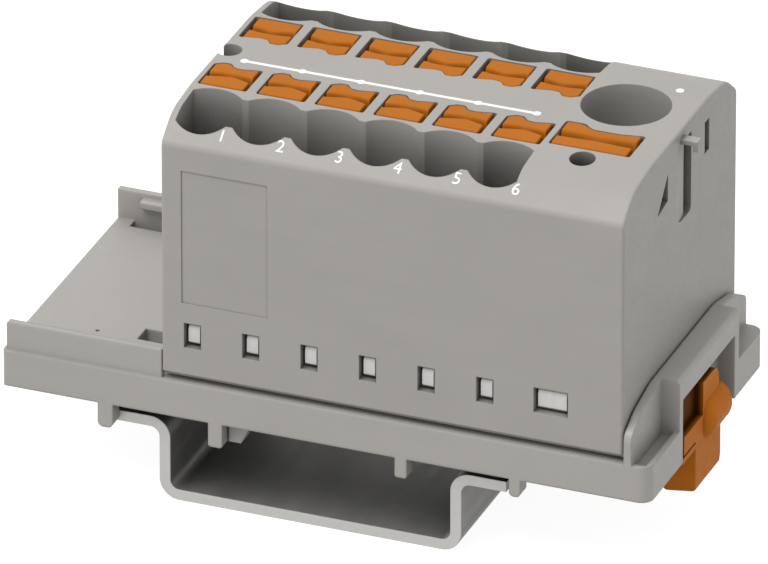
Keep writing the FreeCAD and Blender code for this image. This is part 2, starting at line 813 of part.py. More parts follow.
def make_busbar():
    right = centre_supply + supply_tab_width / 2
    pieces = [box(cavity_left + bar_clear, right, -spine_half, spine_half, bar_z, bar_top)]
    for x in column_x:
        pieces += finger(x, finger_neck, finger_tab, window_width, True)
    pieces += finger(supply_window_x, supply_finger, supply_finger, supply_window_width, False)
    floor = bar_z + bar_thick / 2
    tab = [(0, floor, 0), (supply_tab_y, floor, finger_bend_r),
           (supply_tab_y, bar_z + supply_tab_height, 0)]
    pieces.append(prism(strip(tab, bar_thick), "yz", centre_supply - supply_tab_width / 2, right))
    return join(pieces)


def make_outlet_spring(x):
    """Clamping spring of a front outlet: foot on the spine, heel on top, leg towards the tab."""
    heel = spring_top - spring_sheet / 2
    path = [(-spring_foot_y, bar_top + spring_seat, 0),
            (-spring_foot_y, heel - spring_heel_drop, spring_heel_r),
            (-button_y - spring_heel_over, heel, spring_heel_r),
            (-finger_reach + spring_leg_gap, bar_top + spring_leg_end, 0)]
    return prism(strip(path, spring_sheet), "yz", x - spring_width / 2, x + spring_width / 2)


def make_supply_spring():
    """Clamping spring of the supply entry: foot on the front finger, leg towards the back tab."""
    heel = spring_top - supply_spring_sheet / 2
    foot = -finger_reach + supply_spring_gap
    path = [(foot, bar_top + spring_seat, 0), (foot, heel - supply_heel_drop, supply_heel_radii[0]),
            (supply_button_y - supply_heel_over, heel, supply_heel_radii[1]),
            (supply_tab_y - supply_leg_gap, bar_top + supply_leg_end, 0)]
    half = supply_spring_width / 2
    return prism(strip(path, supply_spring_sheet), "yz", supply_window_x - half, supply_window_x + half)


def stem(x, outer, half_x):
    """Stem of a button from its outer face inwards, with the barbs that keep it in the housing."""
    shaft = box(x - half_x, x + half_x, outer, outer + stem_width, stem_low, head_low + merge)
    flank, step = stem_low + barb_height * barb_flank, stem_low + barb_height
    wide = half_x + barb_out
    barb = prism([(x - half_x, stem_low, 0), (x + half_x, stem_low, 0), (x + wide, flank, 0),
                  (x + wide, step, 0), (x - wide, step, 0), (x - wide, flank, 0)],
                 "xz", outer, outer + stem_width)
    return [shaft, barb]


def groove(x, y, half_length, bow):
    """V groove across a button's top, bent at its middle."""
    rise = button_top + overcut
    parts = []
    for side in (-1, 1):
        ends = [(x, y + bow), (x + side * (half_length + groove_over), y - bow)]
        faces = []
        for px, py in ends:
            points = [V(px, py - groove_half, rise), V(px, py, button_top - groove_depth),
                      V(px, py + groove_half, rise)]
            faces.append(Part.Wire(Part.makePolygon(points + points[:1]).Edges))
        parts.append(Part.makeLoft(faces, True, True))
    return parts


def make_outlet_button(x):
    """Release button of a front outlet."""
    head = prism(moved(button_outline(0), x, -button_y), "xy", head_low, button_top)
    head = head.cut(groove(x, -button_y - groove_shift, button_half_x, groove_bow))
    return join([head] + stem(x, -button_y - stem_front, stem_half_x))


def make_supply_button():
    head = prism(moved(supply_outline(0), centre_supply, supply_button_y), "xy", head_low, button_top)
    quarter = supply_button_half_x / 2
    for side in (-1, 1):
        head = head.cut(groove(centre_supply + side * quarter, supply_button_y - supply_groove_shift,
                               quarter - groove_over, groove_bow))
    return join([head] + stem(centre_supply, supply_button_y - supply_stem_front, 2 * stem_half_x))


def save(name, shape):
    shape.exportStep("parts/" + name + ".step")


def main():
    os.makedirs("parts", exist_ok=True)
    save("rail_section", make_rail())
    save("adapter_base", make_base())
    save("rail_latch", make_latch())
    save("housing", make_housing())
    save("bottom_cover", make_cover())
    save("busbar", make_busbar())
    save("supply_spring", make_supply_spring())
    save("supply_button", make_supply_button())
    for i, x in enumerate(column_x):
        spring, button = make_outlet_spring(x), make_outlet_button(x)
        save("outlet_spring_%02d" % (i + 1), spring)
        save("outlet_button_%02d" % (i + 1), button)
        save("outlet_spring_%02d" % (i + 1 + columns), flip(spring))
        save("outlet_button_%02d" % (i + 1 + columns), turn(button, x))


main()
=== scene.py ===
"""Looks of a push-in power distribution block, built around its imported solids.

Everything is in metres and in the part's own frame: the origin is the middle of the rail's
underside, +X runs along the block to its supply end, +Y from the front to the back, +Z up.
"""
import json
import math

import bpy
from mathutils import Matrix, Vector


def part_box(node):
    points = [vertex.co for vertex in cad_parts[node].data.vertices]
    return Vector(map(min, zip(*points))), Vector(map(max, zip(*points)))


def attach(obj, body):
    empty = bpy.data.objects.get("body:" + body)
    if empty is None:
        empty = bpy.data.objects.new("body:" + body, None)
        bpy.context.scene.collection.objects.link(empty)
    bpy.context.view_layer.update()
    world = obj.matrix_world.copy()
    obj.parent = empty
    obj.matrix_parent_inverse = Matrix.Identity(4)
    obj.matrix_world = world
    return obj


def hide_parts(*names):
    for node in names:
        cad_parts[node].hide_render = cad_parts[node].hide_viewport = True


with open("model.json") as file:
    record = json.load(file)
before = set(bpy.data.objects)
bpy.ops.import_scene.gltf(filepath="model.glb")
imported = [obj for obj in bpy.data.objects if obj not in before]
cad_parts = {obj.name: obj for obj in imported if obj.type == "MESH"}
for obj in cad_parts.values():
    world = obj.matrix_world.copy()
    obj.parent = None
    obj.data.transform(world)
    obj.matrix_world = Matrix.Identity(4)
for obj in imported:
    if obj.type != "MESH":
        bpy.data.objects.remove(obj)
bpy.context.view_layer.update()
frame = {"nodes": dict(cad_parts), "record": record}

bl_info = {
    "name": "Power Distribution Block",
    "version": (1, 0, 0),
    "blender": (4, 5, 0),
    "location": "View3D > Sidebar > Distribution Block",
    "description": "Dresses the solids of a rail-mounted distribution block and sets its studio",
    "category": "Object",
}

MM = 0.001
TOP_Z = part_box("housing")[1].z
BASE_END_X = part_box("adapter_base")[1].x

# The outlets' columns, read from their buttons
FRONT_BUTTONS = ["outlet_button_%02d" % (i + 1) for i in range(6)]
BACK_BUTTONS = ["outlet_button_%02d" % (i + 7) for i in range(6)]


def middle(node):
    """The middle of a CAD node's box."""
    low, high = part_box(node)
    return (low + high) / 2


COLUMNS = [middle(name).x for name in FRONT_BUTTONS]


# Settings

def length(name, description, default, **limits):
    """A length in metres."""
    return bpy.props.FloatProperty(name=name, description=description, default=default,
                                   unit="LENGTH", precision=5, **limits)


def colour(name, description, default):
    """A colour in linear shares of red, green and blue."""
    return bpy.props.FloatVectorProperty(name=name, description=description, default=default,
                                         subtype="COLOR", size=3, min=0, max=1)


class EdgeSettings(bpy.types.PropertyGroup):
    """How round the edges of the moulded and bent parts are."""
    moulded: length("Housing edges", "Radius of the housing's edges", 0.00012)
    base: length("Base edges", "Radius of the adapter base's edges", 0.00028)
    rail: length("Rail edges", "Radius of the rail's cut edges", 0.00008)
    latch: length("Latch edges", "Radius of the latch's edges", 0.0002)
    contact: length("Contact edges", "Radius of the busbar's and the springs' edges", 0.00006)
    facet_angle: bpy.props.FloatProperty(
        name="Facet angle", description="Faces that meet at more than this keep an edge",
        default=math.radians(32), subtype="ANGLE")


class ButtonSettings(bpy.types.PropertyGroup):
    """Shape of the release buttons' tops."""
    groove_depth: length("Groove depth", "Depth of the groove at the button's ends", 0.00085)
    groove_middle: length("Groove middle", "Depth of the groove at its narrow middle", 0.00035)
    groove_width: length("Groove width", "Half width of the groove at the button's ends", 0.0005)
    groove_waist: length("Groove waist", "Half width of the groove at its middle", 0.0004)
    groove_bow: length("Groove bow", "How far the groove's middle bends inwards", 0.00017)
    groove_shift: length("Groove shift", "From the button's centre to the groove, inwards", 0.00017)
    supply_scale: bpy.props.FloatProperty(
        name="Supply groove", description="Size of the supply button's groove against the others'",
        default=1.35, min=0)
    supply_bend: bpy.props.FloatProperty(
        name="Supply bend", description="Bend of the supply button's groove against the others'",
        default=0.0)
    edge: length("Edge", "Radius of the button's top edge", 0.00012)
    corner: length("Corner", "Radius of the head's upright corners", 0.00016)
    near_play: length("Near play", "How much shorter the head is at its horned end", 0.00002)
    far_play: length("Far play", "How much shorter the head is at its other end", 0.00024)
    lift: length("Lift", "How much higher than the solid the head stands", 0.00016)
    head_height: length("Head height", "From the head's top to its foot", 0.0044)


class PrintSettings(bpy.types.PropertyGroup):
    """White print on the housing's top."""
    thickness: length("Thickness", "Height of the print over the plastic", 0.00002)
    line_y: length("Line place", "Distance of the line from the block's middle", -0.00145)
    line_width: length("Line width", "Width of the white line", 0.00034)
    dot_radius: length("Dot radius", "Radius of the white dots", 0.00035)
    supply_dot: bpy.props.FloatVectorProperty(
        name="Supply dot", description="Place of the dot behind the supply entry, along and across the block",
        default=(0.02557, 0.00672), size=2, unit="LENGTH")
    digit_height: length("Digit height", "Height of the small numbers", 0.0011)
    digit_place: bpy.props.FloatVectorProperty(
        name="Digit place", description="From a column's middle, the block's middle and the rail's underside",
        default=(0.00225, -0.01211, 0.03496), subtype="XYZ", unit="LENGTH")
    digit_slope: bpy.props.FloatProperty(
        name="Digit slope", description="Slope of the roof under the numbers",
        default=math.radians(38.5), subtype="ANGLE")


class FinishSettings(bpy.types.PropertyGroup):
    """Colours of the plastics, metals and print."""
    grey: colour("Grey plastic", "Housing and base", (0.372, 0.357, 0.335))
    orange: colour("Orange plastic", "Release buttons", (0.45, 0.138, 0.010))
    amber: colour("Latch plastic", "Rail latch", (0.52, 0.160, 0.016))
    steel: colour("Rail steel", "Zinc-plated rail", (0.28, 0.276, 0.266))
    tin: colour("Tin plating", "Busbar and contact noses", (0.54, 0.53, 0.515))
    spring: colour("Spring steel", "Clamping springs", (0.66, 0.66, 0.66))
    white: colour("Print white", "Line, dots and numbers", (0.94, 0.94, 0.94))


class StageSettings(bpy.types.PropertyGroup):
    """Camera, lamp, sky and floor."""
    azimuth: bpy.props.FloatProperty(
        name="Azimuth", description="Camera's turn from the front to the right",
        default=math.radians(21.448), subtype="ANGLE")
    elevation: bpy.props.FloatProperty(
        name="Elevation", description="Camera's angle over the horizon",
        default=math.radians(27.746), subtype="ANGLE")
    distance: length("Distance", "From the camera to the point that it looks at", 1.571)
    target: bpy.props.FloatVectorProperty(
        name="Target", description="Point that the camera looks at",
        default=(0.001714, 0.0005, 0.017039), subtype="XYZ", unit="LENGTH")
    lens: bpy.props.FloatProperty(name="Lens", description="Focal length in millimetres",
                                  default=884.0, min=1)
    key_place: bpy.props.FloatVectorProperty(
        name="Key place", description="Middle of the square lamp over the block",
        default=(-0.2, -0.345, 0.75), subtype="XYZ", unit="LENGTH")
    key_aim: length("Key aim", "Height over the origin that the lamp points at", 0.015)
    key_size: length("Key size", "Side of the square lamp", 0.5)
    key_power: bpy.props.FloatProperty(name="Key power", description="Power of the lamp in watts",
                                       default=4.4, min=0)
    sky: bpy.props.FloatProperty(name="Sky", description="Strength of the even light all round",
                                 default=0.70, min=0)
    floor: bpy.props.FloatProperty(name="Floor", description="How much light the floor throws back",
                                   default=0.55, min=0, max=1)
    floor_size: length("Floor size", "Side of the square floor", 6.0)
    paper_glow: bpy.props.FloatProperty(
        name="Paper glow", description="How bright the floor looks where it is in full shadow",
        default=0.93, min=0)
    paper_shadow: bpy.props.FloatProperty(
        name="Paper shadow", description="How much of the light and shadow on it the floor shows",
        default=0.22, min=0, max=1)


class BlockSettings(bpy.types.PropertyGroup):
    """All settings of the distribution block."""
    edges: bpy.props.PointerProperty(type=EdgeSettings)
    buttons: bpy.props.PointerProperty(type=ButtonSettings)
    marks: bpy.props.PointerProperty(type=PrintSettings)
    finish: bpy.props.PointerProperty(type=FinishSettings)
    stage: bpy.props.PointerProperty(type=StageSettings)


def settings():
    return bpy.context.scene.distribution_block


# Modelling helpers

# Corners of a solid's loose triangles that lie closer than this are one
WELD = 0.5e-6
# Neighbouring triangles that turn by less than this are one flat face
FLAT_ANGLE = math.radians(0.6)


def pick(piece):
    """Deselects everything and makes the piece the active object."""
    bpy.ops.object.select_all(action="DESELECT")
    piece.select_set(True)
    bpy.context.view_layer.objects.active = piece
    return piece


def pick_none():
    """Deselects everything, so that an operator acts on the new piece alone."""
    bpy.ops.object.select_all(action="DESELECT")


def copy_of(node, name):
    """A piece with its own copy of a CAD node's mesh, its loose triangles joined into one skin."""
    piece = bpy.data.objects.new(name, frame["nodes"][node].data.copy())
    bpy.context.scene.collection.objects.link(piece)
    piece.data.materials.clear()
    pick(piece)
    bpy.ops.object.mode_set(mode="EDIT")
    bpy.ops.mesh.select_all(action="SELECT")
    bpy.ops.mesh.customdata_custom_splitnormals_clear()
    bpy.ops.mesh.remove_doubles(threshold=WELD)
    bpy.ops.mesh.dissolve_limited(angle_limit=FLAT_ANGLE)
    bpy.ops.object.mode_set(mode="OBJECT")
    return piece


def apply_modifier(piece, kind, **values):
    """Adds a modifier with the values given and applies it."""
    pick(piece)
    modifier = piece.modifiers.new(kind.title(), kind)
    for name, value in values.items():
        setattr(modifier, name, value)
    bpy.ops.object.modifier_apply(modifier=modifier.name)


def soften(piece, radius, segments=2):
    """Rounds the piece's sharp edges and shades its curved faces smooth."""
    angle = settings().edges.facet_angle
    pick(piece)
    bpy.ops.object.shade_smooth_by_angle(angle=angle)
    apply_modifier(piece, "BEVEL", width=radius, segments=segments, limit_method="ANGLE",
                   angle_limit=angle, use_clamp_overlap=True, miter_outer="MITER_ARC")
    pick(piece)
    bpy.ops.object.shade_smooth_by_angle(angle=angle)
    apply_modifier(piece, "WEIGHTED_NORMAL", mode="FACE_AREA", weight=80, keep_sharp=True)
    return piece


def dress(piece, material, body, slot, *nodes):
    """Gives a piece its material and its body, and hides the CAD nodes that it stands for. The slot is not
    used.
    """
    piece.data.materials.clear()
    piece.data.materials.append(material)
    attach(piece, body)
    if nodes:
        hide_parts(*nodes)
    return piece


def repaint(node, material):
    """Gives a CAD node that stays as it is one of this scene's materials."""
    slots = frame["nodes"][node].data.materials
    slots.clear()
    slots.append(material)


def body_of(node):
    """The CAD body that a node belongs to."""
    for body, members in frame["record"]["behaviour"]["bodies"].items():
        if node in members:
            return body
    raise KeyError(node)


# Materials

class Shader:
    """A small builder of procedural materials on Object coordinates."""

    # Half height of the band over which the painted shade of a recess sets in at its sill
    SILL_BLUR = 0.0001

    def __init__(self, name):
        self.material = bpy.data.materials.new(name)
        self.material.use_nodes = True
        self.tree = self.material.node_tree
        self.surface = self.tree.nodes["Principled BSDF"]
        self.place = self.add("ShaderNodeTexCoord").outputs["Object"]

    def add(self, kind, **values):
        """A new node, with values for its sockets and settings by their names."""
        node = self.tree.nodes.new(kind)
        for name, value in values.items():
            if name in node.inputs:
                node.inputs[name].default_value = value
            else:
                setattr(node, name, value)
        return node

    def link(self, source, target):
        self.tree.links.new(source, target)

    def stretched(self, scale):
        """Object coordinates scaled apart along each axis."""
        mapping = self.add("ShaderNodeMapping")
        mapping.inputs["Scale"].default_value = scale
        self.link(self.place, mapping.inputs["Vector"])
        return mapping.outputs["Vector"]

    def noise(self, size, detail=3.0, rough=0.5, vector=None):
        """Noise whose patches are about as large as the size given in metres."""
        node = self.add("ShaderNodeTexNoise")
        node.inputs["Scale"].default_value = 1 / size
        node.inputs["Detail"].default_value = detail
        node.inputs["Roughness"].default_value = rough
        self.link(vector or self.place, node.inputs["Vector"])
        return node.outputs["Fac"]

    def spread(self, value, low, high, source_low=0.3, source_high=0.7):
        """The value drawn out from its own range, by default a noise's, to the range low to high."""
        node = self.add("ShaderNodeMapRange")
        for name, number in (("From Min", source_low), ("From Max", source_high),
                             ("To Min", low), ("To Max", high)):
            node.inputs[name].default_value = number
        self.link(value, node.inputs["Value"])
        return node.outputs["Result"]

    def tinted(self, colour, dark, light, factor):
        """The colour between its dark and light shades, by a 0 to 1 factor."""
        mix = self.add("ShaderNodeMix", data_type="RGBA")
        for socket, shade in ((6, dark), (7, light)):
            mix.inputs[socket].default_value = (*[min(c * shade, 1) for c in colour], 1)
        self.link(factor, mix.inputs[0])
        return mix.outputs[2]

    def paint_hollow_shade(self, colour, reach, darkest, alone=True, clear=0.9):
        """Painted shade: the colour, darker where walls stand closer than the reach, the piece's own if
        alone.

        Its share runs from darkest where all sides are walled up to 1 where the clear share is open.
        """
        open_share = self.add("ShaderNodeAmbientOcclusion", samples=8, only_local=alone)
        open_share.inputs["Distance"].default_value = reach
        scaled = self.add("ShaderNodeVectorMath", operation="SCALE")
        self.link(colour, scaled.inputs[0])
        self.link(self.spread(open_share.outputs["AO"], darkest, 1, 0, clear), scaled.inputs["Scale"])
        return scaled.outputs[0]

    def paint_pocket_shade(self, colour, floor_x, depth, sill_z, darkest):
        """Painted shade: the colour, darker towards the floor of a recess that is open to +X and starts at
        its sill.
        """
        parts = self.add("ShaderNodeSeparateXYZ")
        self.link(self.place, parts.inputs[0])
        away = self.add("ShaderNodeMath", operation="SUBTRACT")
        self.link(parts.outputs["X"], away.inputs[0])
        away.inputs[1].default_value = floor_x
        size = self.add("ShaderNodeMath", operation="ABSOLUTE")
        self.link(away.outputs[0], size.inputs[0])
        below = self.spread(parts.outputs["Z"], 1, 0, sill_z - self.SILL_BLUR, sill_z + self.SILL_BLUR)
        either = self.add("ShaderNodeMath", operation="MAXIMUM")
        self.link(self.spread(size.outputs[0], darkest, 1, depth / 2, depth), either.inputs[0])
        self.link(below, either.inputs[1])
        scaled = self.add("ShaderNodeVectorMath", operation="SCALE")
        self.link(colour, scaled.inputs[0])
        self.link(either.outputs[0], scaled.inputs["Scale"])
        return scaled.outputs[0]

    def bump(self, layers, rounding=None):
        """Stacks (height, distance, strength) layers of relief, over edges shaded round if asked."""
        normal = None
        if rounding:
            rounded = self.add("ShaderNodeBevel", samples=6)
            rounded.inputs["Radius"].default_value = rounding
            normal = rounded.outputs["Normal"]
        for height, distance, strength in layers:
            node = self.add("ShaderNodeBump")
            node.inputs["Strength"].default_value = strength
            node.inputs["Distance"].default_value = distance
            self.link(height, node.inputs["Height"])
            if normal:
                self.link(normal, node.inputs["Normal"])
            normal = node.outputs["Normal"]
        self.link(normal, self.surface.inputs["Normal"])

    def set(self, **values):
        """Plain values of the surface's own sockets."""
        names = {"metal": "Metallic", "rough": "Roughness", "gloss": "Specular IOR Level"}
        for key, value in values.items():
            self.surface.inputs[names[key]].default_value = value


def moulded_plastic(name, tone, rough, grain, flow, gloss, painted_shade, rounding=None, pocket_shade=None):
    """Injection-moulded plastic: fine grain, faint clouds and flow lines, and painted shade in its recesses.

    The flow is how far the tone strays, the painted shade darkens its recesses, and the rounding is the
    radius that the edges are shaded at.
    """
    s = Shader(name)
    clouds = s.noise(0.009, detail=4)
    fine = s.noise(0.0007, detail=2)
    flow_lines = s.noise(0.004, detail=3, vector=s.stretched((0.35, 0.35, 2.2)))
    blend = s.add("ShaderNodeMath", operation="ADD")
    s.link(s.spread(clouds, 0.0, 0.6), blend.inputs[0])
    s.link(s.spread(flow_lines, 0.0, 0.4), blend.inputs[1])
    mottled = s.tinted(tone, 1 - flow, 1 + flow, blend.outputs[0])
    # Painted shade, darker where walls close in
    skin = s.paint_hollow_shade(mottled, **painted_shade)
    # Painted shade towards the floor of a screwdriver recess, where one is given
    if pocket_shade:
        skin = s.paint_pocket_shade(skin, **pocket_shade)
    s.link(skin, s.surface.inputs["Base Color"])
    s.link(s.spread(fine, rough - 0.05, rough + 0.06), s.surface.inputs["Roughness"])
    pores, waves = s.noise(0.00022, detail=2), s.noise(0.003, detail=2)
    s.bump([(pores, 0.00001, grain), (waves, 0.00002, 0.25)], rounding)
    s.set(gloss=gloss)
    return s.material


def plated_steel(name, tone, rough, metal, cut_highlight, painted_shade):
    """Rolled and zinc-plated sheet: faint streaks over a soft crystal pattern, with painted shade where walls
    close in.

    Its ends, cut square to the Y axis, carry a painted highlight: they are brighter than the sheet by the cut
    highlight's factor.
    """
    s = Shader(name)
    streaks = s.noise(0.0009, detail=4, vector=s.stretched((1.0, 0.05, 1.0)))
    spangle = s.noise(0.0026, detail=2)
    blend = s.add("ShaderNodeMath", operation="ADD")
    s.link(s.spread(streaks, 0.0, 0.5), blend.inputs[0])
    s.link(s.spread(spangle, 0.0, 0.5), blend.inputs[1])
    # Painted highlight: faces that look along Y, the cut ends, are painted brighter
    facing = s.add("ShaderNodeSeparateXYZ")
    s.link(s.add("ShaderNodeTexCoord").outputs["Normal"], facing.inputs[0])
    end = s.add("ShaderNodeMath", operation="ABSOLUTE")
    s.link(facing.outputs["Y"], end.inputs[0])
    # Painted shade where walls close in, other pieces' walls too when asked
    skin = s.paint_hollow_shade(s.tinted(tone, 0.86, 1.12, blend.outputs[0]), **painted_shade)
    bright = s.add("ShaderNodeMix", data_type="RGBA")
    s.link(s.spread(end.outputs[0], 0, 1, source_low=0.2, source_high=0.7), bright.inputs[0])
    s.link(skin, bright.inputs[6])
    bright.inputs[7].default_value = (*[min(c * cut_highlight, 1) for c in tone], 1)
    s.link(bright.outputs[2], s.surface.inputs["Base Color"])
    s.link(s.spread(streaks, rough - 0.07, rough + 0.08), s.surface.inputs["Roughness"])
    s.bump([(streaks, 0.00001, 0.35), (s.noise(0.0003), 0.000006, 0.3)])
    s.set(metal=metal)
    return s.material


def bright_metal(name, tone, rough, metal=0.85):
    """Tin-plated or polished strip with fine drawing marks."""
    s = Shader(name)
    marks = s.noise(0.0005, detail=3, vector=s.stretched((1.0, 1.0, 0.12)))
    s.link(s.tinted(tone, 0.9, 1.05, s.spread(marks, 0, 1)), s.surface.inputs["Base Color"])
    s.link(s.spread(marks, rough - 0.06, rough + 0.08), s.surface.inputs["Roughness"])
    s.bump([(marks, 0.000006, 0.4)])
    s.set(metal=metal)
    return s.material


def print_ink(name, tone):
    """White ink, thin and slightly worn."""
    s = Shader(name)
    worn = s.noise(0.0002, detail=3)
    s.link(s.tinted(tone, 0.93, 1.05, s.spread(worn, 0, 1)), s.surface.inputs["Base Color"])
    s.link(s.spread(worn, 0.38, 0.52), s.surface.inputs["Roughness"])
    s.bump([(worn, 0.000004, 0.3)])
    return s.material


def finish(name):
    """The material of that name, made on first use."""
    if name in bpy.data.materials:
        return bpy.data.materials[name]
    tones = settings().finish
    makers = {
        # The housing's and the base's greys share one tone; painted shade darkens the housing's recesses
        # deeply and the base's lightly
        "grey_moulding": lambda: moulded_plastic(
            name, tones.grey, rough=0.43, grain=0.30, flow=0.035, gloss=0.15,
            painted_shade={"reach": 6 * MM, "darkest": 0.10}, rounding=0.12 * MM),
        "base_moulding": lambda: moulded_plastic(
            name, tones.grey, rough=0.47, grain=0.30, flow=0.035, gloss=0.5,
            painted_shade={"reach": 4 * MM, "darkest": 0.6}, rounding=0.28 * MM),
        # Painted shade in the buttons' grooves
        "orange_moulding": lambda: moulded_plastic(
            name, tones.orange, rough=0.45, grain=0.20, flow=0.06, gloss=0.06,
            painted_shade={"reach": 1.5 * MM, "darkest": 0.10}),
        # Painted shade in the latch's recesses, cast by the pieces around it too, and towards the floor of
        # its screwdriver recess
        "latch_moulding": lambda: moulded_plastic(
            name, tones.amber, rough=0.50, grain=0.25, flow=0.08, gloss=0.05,
            painted_shade={"reach": 4 * MM, "darkest": 0.15, "alone": False},
            pocket_shade={"floor_x": BASE_END_X - 1.0 * MM, "depth": 0.7 * MM, "sill_z": 8.8 * MM, "darkest": 0.2}),
        # Painted shade inside the rail's channel and under the base, and a painted highlight on its cut ends
        "plated_rail": lambda: plated_steel(
            name, tones.steel, rough=0.45, metal=0.5, cut_highlight=1.85,
            painted_shade={"reach": 12 * MM, "darkest": 0.0, "alone": False, "clear": 0.7}),
        "tin_plating": lambda: bright_metal(name, tones.tin, rough=0.42),
        "polished_spring": lambda: bright_metal(name, tones.spring, rough=0.26),
        "white_print": lambda: print_ink(name, tones.white)}
    return makers[name]()


# Pieces

class BLOCK_OT_housing(bpy.types.Operator):
    """Dress the housing with rounded edges and grained grey plastic"""
    bl_idname = "distribution_block.housing"
    bl_label = "Housing"

    def execute(self, context):
        piece = soften(copy_of("housing", "housing_shell"), settings().edges.moulded)
        dress(piece, finish("grey_moulding"), "block", "grey_plastic", "housing")
        return {"FINISHED"}


class BLOCK_OT_adapter(bpy.types.Operator):
    """Dress the adapter base that clips on the rail, and the bottom cover inside"""
    bl_idname = "distribution_block.adapter"
    bl_label = "Adapter Base"

    def execute(self, context):
        piece = soften(copy_of("adapter_base", "adapter_shell"), settings().edges.base)
        dress(piece, finish("base_moulding"), "block", "grey_plastic", "adapter_base")
        repaint("bottom_cover", finish("grey_moulding"))
        return {"FINISHED"}


class BLOCK_OT_rail(bpy.types.Operator):
    """Dress the short piece of mounting rail"""
    bl_idname = "distribution_block.rail"
    bl_label = "Rail Section"

    def execute(self, context):
        piece = soften(copy_of("rail_section", "rail_sheet"), settings().edges.rail)
        dress(piece, finish("plated_rail"), "block", "rail_steel", "rail_section")
        return {"FINISHED"}


class BLOCK_OT_latch(bpy.types.Operator):
    """Dress the sliding rail latch"""
    bl_idname = "distribution_block.latch"
    bl_label = "Rail Latch"

    def execute(self, context):
        piece = soften(copy_of("rail_latch", "latch_body"), settings().edges.latch, 3)
        dress(piece, finish("latch_moulding"), "latch", "brown_plastic", "rail_latch")
        return {"FINISHED"}


class BLOCK_OT_contacts(bpy.types.Operator):
    """Dress the busbar and give the clamping springs their finish"""
    bl_idname = "distribution_block.contacts"
    bl_label = "Contacts"

    def execute(self, context):
        piece = soften(copy_of("busbar", "contact_bar"), settings().edges.contact, 1)
        dress(piece, finish("tin_plating"), "block", "bar_metal", "busbar")
        for name in frame["nodes"]:
            if "spring" in name:
                repaint(name, finish("polished_spring"))
        return {"FINISHED"}


# The share of a head's grid rows at which its groove starts and stops
GROOVE_ROWS = (0.36, 0.64)
# How strongly the rows crowd at a head's long edges, and its columns at the short ones
ROW_CROWDING, COLUMN_CROWDING = 1.7, 0.75
# How late the groove bends and deepens from its middle to its ends
BEND_GROWTH, DEPTH_GROWTH = 1.5, 1.3
# The nine places, in shares of the reach, that a rounded line's height is the mean of
ROUNDING_PLACES = [i / 4 - 1 for i in range(9)]
# How far a CAD stem reaches up into its head
STEM_OVERLAP = 0.05 * MM
# Faces of a button that meet at more than this keep an edge
BUTTON_EDGE_ANGLE = math.radians(35)

# The heads from above, in millimetres from their centres: the straight outer side, where the inner side
# starts and ends, the corners between, as places along and across, how far they are rounded, and the
# cells of the grid along and across
OUTLET_HEAD = {"outer": -1.8, "start": 1.72, "end": 1.92,
               "corners": ((-1.42, 2.17), (-0.8, 2.17), (-0.35, 1.62), (0.35, 1.52)),
               "rounding": 0.22, "cells": (40, 44)}
SUPPLY_HEAD = {"outer": -1.97, "start": 2.03, "end": 1.7,
               "corners": ((-1.95, 2.03), (-1.05, 1.3), (1.35, 1.3)),
               "rounding": 0.5, "cells": (64, 44)}
# From an outlet button's outer side to its head's centre
OUTLET_CENTRE = 1.87 * MM


def spread_out(fraction):
    """A fraction of a length moved so that the steps are finer near both ends."""
    return fraction - COLUMN_CROWDING * math.sin(2 * math.pi * fraction) / (2 * math.pi)


def between(corners, place):
    """The height at a place of the line that joins the corners."""
    for (a0, b0), (a1, b1) in zip(corners, corners[1:]):
        if place <= a1:
            return b0 + (b1 - b0) * (place - a0) / (a1 - a0)
    return corners[-1][1]


def rounded_line(corners, place, reach):
    """The same line with its corners rounded over the reach."""
    first, last = corners[0][0], corners[-1][0]
    places = [min(max(place + reach * share, first), last) for share in ROUNDING_PLACES]
    return sum(between(corners, near) for near in places) / len(places)


def edge_fall(distance, radius):
    """How far a rounded edge falls at a distance from the side."""
    inside = max(radius - max(distance, 0), 0)
    return radius - math.sqrt(radius ** 2 - inside ** 2)


def groove_at(along, half_length, look, scale, bend):
    """Middle line, half width and depth of a groove that is wider and deeper at both ends."""
    end = min(abs(along) / half_length, 1)
    line = look.groove_shift + look.groove_bow * (1 - 2 * end ** BEND_GROWTH)
    width = look.groove_waist + (look.groove_width - look.groove_waist) * end
    depth = look.groove_middle + (look.groove_depth - look.groove_middle) * end ** DEPTH_GROWTH
    return line * bend, width * scale, depth * scale


def row_place(fraction, near, far, line, width):
    """A row's place across a head, the rows following the groove and crowding at the edges."""
    first, last = line - width, line + width
    if fraction < GROOVE_ROWS[0]:
        return near + (first - near) * (fraction / GROOVE_ROWS[0]) ** ROW_CROWDING
    if fraction > GROOVE_ROWS[1]:
        return far - (far - last) * ((1 - fraction) / (1 - GROOVE_ROWS[1])) ** ROW_CROWDING
    return first + (last - first) * (fraction - GROOVE_ROWS[0]) / (GROOVE_ROWS[1] - GROOVE_ROWS[0])


def inner_side(shape, half_length, look):
    """The corners of a head's inner side, a little short of the button's length at both ends."""
    corners = [(along * MM, across * MM) for along, across in shape["corners"]]
    start = (look.near_play - half_length, shape["start"] * MM)
    end = (half_length - look.far_play, shape["end"] * MM)
    return [start, *corners, end]


